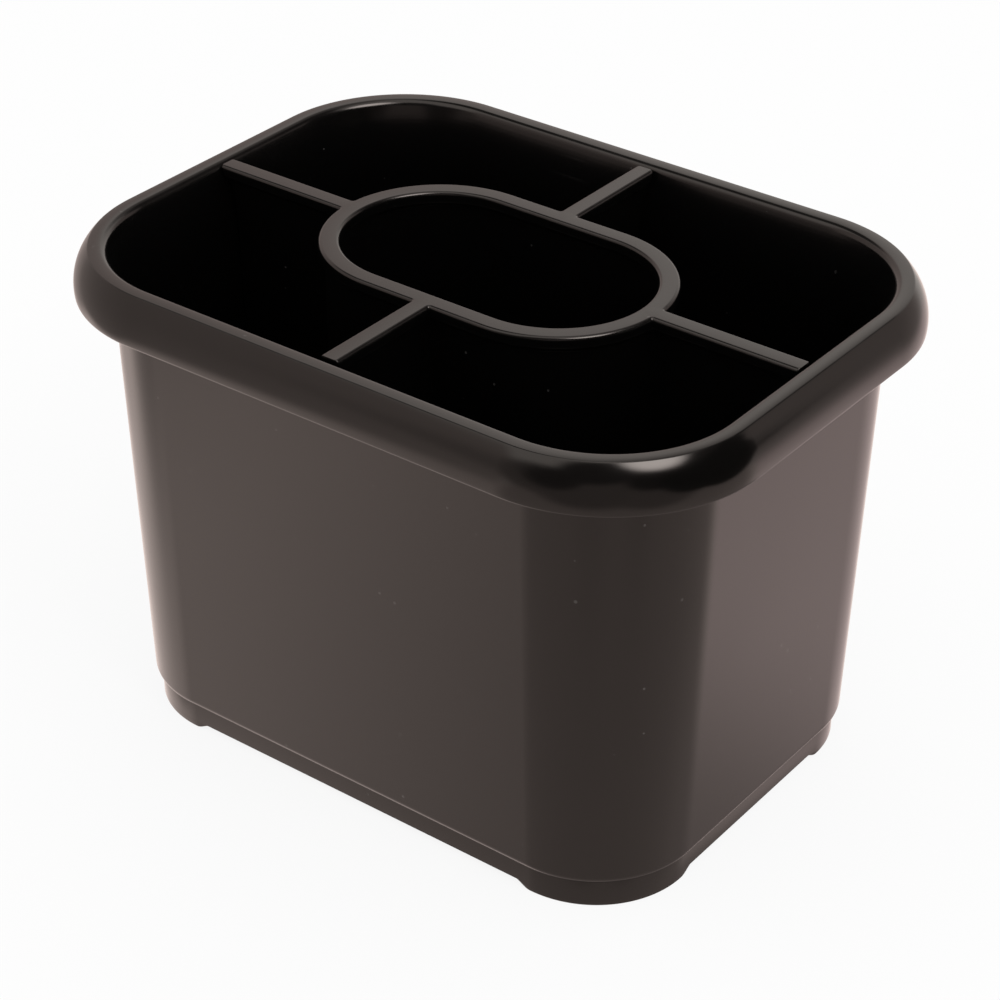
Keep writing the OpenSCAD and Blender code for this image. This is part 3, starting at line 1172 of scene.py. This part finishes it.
def handling_marks() -> Tree:
    """Node group of the marks of use: hairline scratches in patches, rubbed edges and settled dust.

    Scratches are a noise stretched along a slanted line and cut to its crests, in two
    directions. Rubbing follows the edge wear, broken up by a second noise. Dust is a few
    specks of uneven size, gathered in patches.

    Returns:
        The group.
    """
    nodes, entry, leave = new_group(
        "handling_marks", {"Vector": None, "Edge": 0.0, "Amount": 1.0}, ("Scratch", "Rub", "Dust")
    )
    place, amount = entry["Vector"], entry["Amount"]
    scratches = []
    for slant in (28.0, -52.0):
        turn = (math.radians(slant),) * 3
        drawn = {"Vector": place, "Rotation": turn, "Scale": (18.0, 900.0, 900.0)}
        along = nodes.add("Mapping", drawn).outputs["Vector"]
        scratches.append(nodes.ramp(nodes.noise(along, scale=1.0, detail=1.0), low=0.70, high=0.76))
    patch = nodes.ramp(nodes.noise(place, scale=34.0, detail=2.0), low=0.50, high=0.72)
    lines = nodes.calc("MULTIPLY", nodes.calc("MAXIMUM", *scratches), patch)
    nodes.fill(leave["Scratch"], nodes.calc("MULTIPLY", lines, amount))
    broken = nodes.ramp(nodes.noise(place, scale=150.0, detail=3.0), low=0.40, high=0.66, to_low=0.25)
    rub = nodes.calc("MULTIPLY", broken, entry["Edge"])
    nodes.fill(leave["Rub"], nodes.calc("MULTIPLY", rub, amount))
    cells = nodes.add("TexVoronoi", {"Vector": place, "Scale": 240.0})
    chance = nodes.add("SeparateColor", {"Color": cells.outputs["Color"]}).outputs["Red"]
    reach = nodes.ramp(chance, low=0.50, high=1.0, to_high=0.12)
    nearness = nodes.calc("SUBTRACT", reach, cells.outputs["Distance"])
    specks = nodes.ramp(nearness, low=0.0, high=0.03)
    gathered = nodes.ramp(nodes.noise(place, scale=48.0, detail=2.0), low=0.44, high=0.58)
    nodes.fill(leave["Dust"], nodes.calc("MULTIPLY", specks, gathered))
    return nodes.tree


@dataclass(frozen=True)
class Effects:
    """The node groups that the finishes share.

    Args:
        skin: Node group of the mould's skin.
        marks: Node group of the marks of use.
    """

    skin: Tree
    marks: Tree


@dataclass(frozen=True)
class BlackPlastic:
    """A moulded black plastic.

    Args:
        name: Name of the material.
        base: Colour of the plastic.
        worn: Colour of scratched and rubbed plastic.
        roughness: Roughness of the untouched skin.
        spread: How far the roughness swings along the surface.
        dulling: Rise in roughness where cutlery rubs the inside.
        wear_dulling: Rise in roughness where the plastic is scratched and rubbed.
        marks: Strength of scratches and rubbed edges.
        dust: Colour of settled dust.
        peel: Strength of the orange peel.
        peel_depth: Depth of the orange peel.
        reflectance: Index of refraction, which sets how much the skin reflects.
        tint: Colour of the reflections seen head on.
    """

    name: str
    base: Colour = (0.0016, 0.0015, 0.0014)
    worn: Colour = (0.009, 0.0083, 0.0078)
    roughness: float = 0.14
    spread: float = 0.06
    dulling: float = 0.04
    wear_dulling: float = 0.16
    marks: float = 0.5
    dust: Colour = (0.045, 0.043, 0.041)
    peel: float = 0.05
    peel_depth: float = 0.05 * MM
    reflectance: float = 1.65
    tint: Colour = (1.0, 0.96, 0.93)

    def material(self, effects: Effects) -> bpy.types.Material:
        """Builds the material.

        Args:
            effects: The node groups that the finishes share.

        Returns:
            The material.
        """
        made = bpy.data.materials.new(self.name)
        made.use_nodes = True
        nodes = Nodes(made.node_tree)
        place = nodes.add("TexCoord").outputs["Object"]
        edge = nodes.add("Attribute", attribute_name=WEAR).outputs["Fac"]
        inside = nodes.add("Attribute", attribute_name=INSIDE).outputs["Fac"]
        gloss = {"Vector": place, "Roughness": self.roughness, "Spread": self.spread}
        skin = nodes.add("Group", gloss, node_tree=effects.skin).outputs
        wear = {"Vector": place, "Edge": edge, "Amount": self.marks}
        use = nodes.add("Group", wear, node_tree=effects.marks).outputs
        worn = nodes.calc("MAXIMUM", use["Scratch"], use["Rub"])
        clean = nodes.choose(worn, self.base, self.worn)
        rubbed = nodes.calc("MULTIPLY_ADD", inside, self.dulling, skin["Roughness"])
        peel = {"Strength": self.peel, "Distance": self.peel_depth, "Height": skin["Height"]}
        shader = nodes.tree.nodes["Principled BSDF"].inputs
        nodes.fill(shader["Base Color"], nodes.choose(use["Dust"], clean, self.dust))
        nodes.fill(shader["Roughness"], nodes.calc("MULTIPLY_ADD", worn, self.wear_dulling, rubbed))
        nodes.fill(shader["Normal"], nodes.add("Bump", peel).outputs["Normal"])
        nodes.fill(shader["IOR"], self.reflectance)
        nodes.fill(shader["Specular Tint"], self.tint)
        return made


def heading(azimuth: float, elevation: float) -> Vector:
    """Direction from the object: azimuth 0 is towards -Y and 90 towards +X, in degrees."""
    a, e = math.radians(azimuth), math.radians(elevation)
    return Vector((math.sin(a) * math.cos(e), -math.cos(a) * math.cos(e), math.sin(e)))


@dataclass(frozen=True)
class PhotoCamera:
    """The photograph's camera, as a view of the middle of the rim.

    Args:
        azimuth: Direction of the camera, in degrees.
        elevation: Height of the camera above the horizon, in degrees.
        roll: Turn of the picture, in degrees.
        distance: Distance from the middle of the rim, along the view.
        aside: Shift of the camera to its right.
        lift: Shift of the camera along its own upright.
        lens: Focal length, in millimetres.
        sensor: Width of the sensor, in millimetres.
        clip: Nearest and farthest distance that the camera shows.
    """

    azimuth: float = 36.957
    elevation: float = 32.260
    roll: float = 0.339
    distance: float = 663.0 * MM
    aside: float = 0.71 * MM
    lift: float = -58.48 * MM
    lens: float = 99.75
    sensor: float = 36.0
    clip: tuple[float, float] = (0.01, 50.0)

    def build(self, aim: Vector) -> Object:
        """Makes the camera and sets it as the scene's.

        Args:
            aim: Middle of the rim.

        Returns:
            The camera.
        """
        back = heading(self.azimuth, self.elevation)
        level = Vector((0, 0, 1)).cross(back).normalized()
        upright = back.cross(level)
        c, s = math.cos(math.radians(self.roll)), math.sin(math.radians(self.roll))
        right, up = c * level + s * upright, c * upright - s * level
        data = bpy.data.cameras.new("photo_camera")
        data.lens = self.lens
        data.sensor_width = self.sensor
        data.clip_start, data.clip_end = self.clip
        camera = new_object("photo_camera", data)
        turned = Matrix((right, up, back)).transposed().to_4x4()
        turned.translation = aim + back * self.distance + right * self.aside + up * self.lift
        camera.matrix_world = turned
        bpy.context.scene.camera = camera
        return camera


@dataclass(frozen=True)
class Flag:
    """A soft card of the studio that only reflections show, as a round patch of the surroundings.

    Args:
        azimuth: Direction of the card, in degrees.
        elevation: Height of the card above the horizon, in degrees.
        inner: Angle from its middle within which the card is full, in degrees.
        outer: Angle from its middle at which the card has faded out, in degrees.
        colour: Colour of the card.
    """

    azimuth: float
    elevation: float
    inner: float
    outer: float
    colour: Colour

    def share(self, nodes: Nodes, direction: Socket) -> Socket:
        """Value that is 1 on the card, falling to 0 where it has faded out, by the angle's cosine.

        Args:
            nodes: The nodes to add to.
            direction: The direction that is looked in.

        Returns:
            The value.
        """
        middle = heading(self.azimuth, self.elevation)
        angle = nodes.add("VectorMath", {0: direction, 1: middle}, operation="DOT_PRODUCT")
        low, high = (math.cos(math.radians(edge)) for edge in (self.outer, self.inner))
        return nodes.ramp(angle.outputs["Value"], low, high)


@dataclass(frozen=True)
class Softbox:
    """A soft lamp that points at the object.

    Args:
        name: Name of the lamp.
        azimuth: Direction of the lamp, in degrees.
        elevation: Height of the lamp above the horizon, in degrees.
        distance: Distance of the lamp from the middle of the rim.
        width: Width of the lamp.
        height: Height of the lamp.
        power: Power of the lamp, in watts.
    """

    name: str
    azimuth: float
    elevation: float
    distance: float
    width: float
    height: float
    power: float

    def build(self, aim: Vector) -> Object:
        """Makes the lamp.

        Args:
            aim: Middle of the rim.

        Returns:
            The lamp.
        """
        data = bpy.data.lights.new(self.name, "AREA")
        data.shape = "RECTANGLE"
        data.size, data.size_y = self.width, self.height
        data.energy = self.power
        lamp = new_object(self.name, data)
        back = heading(self.azimuth, self.elevation)
        lamp.location = aim + back * self.distance
        lamp.rotation_mode = "QUATERNION"
        lamp.rotation_quaternion = back.to_track_quat("Z", "Y")
        lamp.visible_glossy = False
        return lamp


@dataclass
class Studio:
    """White floor and surroundings, a soft lamp and the cards that shape the reflections.

    Args:
        aim: Middle of the rim, which lamps point at.
        floor_size: Length of the floor's sides.
        floor_colour: Colour of the floor.
        floor_white: Share of plain white in the floor as the camera sees it; the rest shows the shadow.
        ambient: Level of the surroundings for soft light.
        sky: Colour of the surroundings above the horizon, as reflections show it.
        ground: Colour of the surroundings below the horizon, as reflections show it.
        horizon: Upward part of the direction at which the ground ends and the sky is full.
        plain_rays: Kinds of ray that see plain white.
        lamps: The soft lamps.
        flags: The cards that darken, where the surroundings are lighter than they are; the first is
            painted shade on the ground in front of the near corner, which the walls reflect.
        glows: The cards that brighten, which stand for the lamps in reflections.
    """

    aim: Vector
    floor_size: float = 8.0
    floor_colour: Colour = (0.95, 0.95, 0.95)
    floor_white: float = 0.88
    ambient: float = 0.9
    sky: Colour = (0.91, 0.84, 0.79)
    ground: Colour = (1.30, 1.09, 1.015)
    horizon: tuple[float, float] = (-0.35, -0.15)
    plain_rays: tuple[str, ...] = ("Is Camera Ray", "Is Transmission Ray")
    lamps: tuple[Softbox, ...] = (
        Softbox("right_softbox", 77.0, 46.0, 1.1, 0.45, 0.30, 2.3),
    )
    flags: tuple[Flag, ...] = (
        # Painted shade: darker ground in front of the near corner, which the walls reflect as a dark
        # band
        Flag(52.0, -32.0, 65.0, 84.5, (0.50, 0.415, 0.385)),
        Flag(150.0, -36.0, 24.0, 44.0, (0.975, 0.785, 0.755)),
        Flag(150.0, -61.0, 19.5, 25.0, (0.40, 0.33, 0.31)),
        Flag(-110.0, 6.0, 30.0, 42.0, (0.64, 0.53, 0.495)),
        Flag(-62.0, 6.0, 34.0, 44.0, (0.515, 0.43, 0.40)),
        Flag(-8.0, 12.0, 16.0, 30.0, (0.25, 0.21, 0.195)),
        Flag(5.0, 18.0, 10.0, 26.0, (0.06, 0.05, 0.047)),
        Flag(25.0, 0.0, 22.0, 40.0, (0.24, 0.20, 0.186)),
        Flag(30.0, 38.0, 16.0, 26.0, (0.06, 0.05, 0.047)),
        Flag(65.0, -7.0, 18.0, 32.0, (0.26, 0.215, 0.20)),
        Flag(110.0, 34.0, 13.0, 20.0, (0.07, 0.058, 0.055)),
        Flag(66.0, 20.0, 12.0, 22.0, (0.045, 0.037, 0.035)),
        Flag(92.0, 10.0, 20.0, 27.0, (0.02, 0.017, 0.015)),
        Flag(112.0, 8.0, 24.0, 28.0, (0.02, 0.017, 0.015)),
        Flag(131.3, 2.0, 6.2, 7.4, (0.03, 0.026, 0.024)),
        Flag(150.0, 8.0, 14.0, 34.0, (0.43, 0.36, 0.335)),
        Flag(-105.0, 56.0, 13.0, 23.0, (0.08, 0.07, 0.066)),
        Flag(-175.0, 52.0, 4.0, 30.0, (0.28, 0.25, 0.235)),
        Flag(127.0, 27.0, 8.0, 13.0, (0.03, 0.026, 0.024)),
        Flag(148.0, 46.0, 13.0, 23.0, (0.06, 0.05, 0.047)),
    )
    glows: tuple[Flag, ...] = (
        Flag(76.0, 52.0, 8.0, 20.0, (5.7, 5.3, 5.1)),
    )

    def build_world(self) -> None:
        """Makes the surroundings: white to the camera, cards in reflections, plain soft light else."""
        world = bpy.data.worlds.new("studio")
        world.use_nodes = True
        nodes = Nodes(world.node_tree)
        nodes.tree.nodes.clear()
        direction = nodes.add("TexCoord").outputs["Generated"]
        upward = nodes.add("SeparateXYZ", {"Vector": direction}).outputs["Z"]
        seen = nodes.choose(nodes.ramp(upward, *self.horizon), self.ground, self.sky)
        for operation, cards in (("MINIMUM", self.flags), ("MAXIMUM", self.glows)):
            for card in cards:
                limit = nodes.limited(operation, seen, card.colour)
                seen = nodes.choose(card.share(nodes, direction), seen, limit)
        light = nodes.choose(nodes.rays("Is Glossy Ray"), (self.ambient,) * 3, seen)
        colour = nodes.choose(nodes.rays(*self.plain_rays), light, WHITE)
        background = nodes.add("Background", {"Color": colour})
        nodes.add("OutputWorld", {"Surface": background.outputs["Background"]})
        bpy.context.scene.world = world

    def build_floor(self) -> Object:
        """Makes the floor: white to the camera, with the object's shadow on it.

        Returns:
            The floor.
        """
        half = self.floor_size / 2
        corners = [(-half, -half, 0), (half, -half, 0), (half, half, 0), (-half, half, 0)]
        mesh = bpy.data.meshes.new("floor")
        mesh.from_pydata(corners, [], [(0, 1, 2, 3)])
        floor = new_object("floor", mesh)
        paper = bpy.data.materials.new("floor_paper")
        paper.use_nodes = True
        nodes = Nodes(paper.node_tree)
        nodes.tree.nodes.clear()
        matt = nodes.add("BsdfDiffuse", {"Color": self.floor_colour}).outputs["BSDF"]
        white = nodes.add("Emission", {"Color": WHITE, "Strength": 1.0}).outputs["Emission"]
        share = nodes.calc("MULTIPLY", nodes.rays(*self.plain_rays), self.floor_white)
        mix = nodes.add("MixShader", {"Fac": share, 1: matt, 2: white})
        nodes.add("OutputMaterial", {"Surface": mix.outputs["Shader"]})
        floor.data.materials.append(paper)
        floor.visible_glossy = False
        return floor

    def build(self) -> None:
        """Makes the surroundings, the floor and the lamps."""
        self.build_world()
        self.build_floor()
        for lamp in self.lamps:
            lamp.build(self.aim)


def main() -> None:
    """Builds the camera, the studio and the three mouldings, and dresses them."""
    logging.basicConfig(level=logging.INFO, format="%(name)s: %(message)s")
    sizes = TubSizes.from_frame()
    rim = Vector((0.0, 0.0, sizes.rim_z))
    PhotoCamera().build(rim)
    Studio(rim).build()
    tray_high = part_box(Piece.TRAY.value)[1]
    divider_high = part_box(Piece.DIVIDER.value)[1]
    effects = Effects(moulded_skin(), handling_marks())
    dressed: tuple[tuple[Moulding, BlackPlastic], ...] = (
        (Tub(sizes), BlackPlastic("tub_plastic")),
        (Divider(sizes, divider_high.z), BlackPlastic("divider_plastic")),
        (Tray(sizes, tray_high.z, tray_high.x - sizes.outline.corner_x), BlackPlastic("tray_plastic")),
    )
    for moulding, finish in dressed:
        moulding.dress(moulding.build(), finish, effects)
    bpy.context.scene.view_settings.view_transform = "Standard"


if __name__ == "__main__":
    main()
